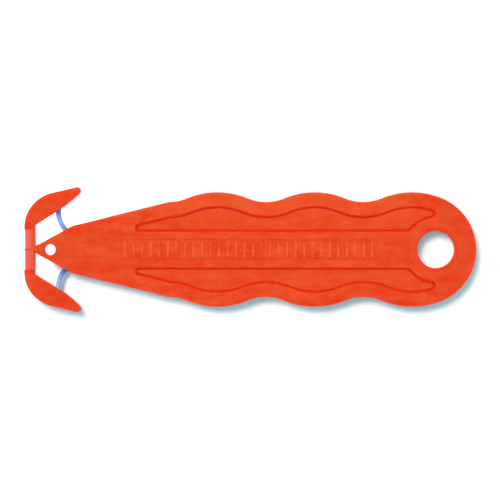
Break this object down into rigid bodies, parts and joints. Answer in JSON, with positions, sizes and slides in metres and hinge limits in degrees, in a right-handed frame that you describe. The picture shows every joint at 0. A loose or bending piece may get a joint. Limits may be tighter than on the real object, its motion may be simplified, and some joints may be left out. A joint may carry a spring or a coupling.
{
  "type": "hooked safety cutter",
  "caption": "Flat plastic utility knife with an anchor-shaped head, a captive curved blade in each hook slot, a wavy grip and a hang hole.",
  "frame": {"origin": "under the middle of the overall box, on the back face that the cutter lies on", "axes": "+X along the handle from the head to the hang hole, +Y across it, +Z through its thickness, out of the front face"},
  "size_m": [0.146, 0.0404, 0.005],
  "materials": {
    "handle_plastic": "satin moulded orange-red polymer",
    "blade_steel": "ground and blued carbon steel"
  },
  "bodies": {
    "root": {"handle": "handle_plastic", "left_blade": "blade_steel", "right_blade": "blade_steel"}
  },
  "joints": []
}
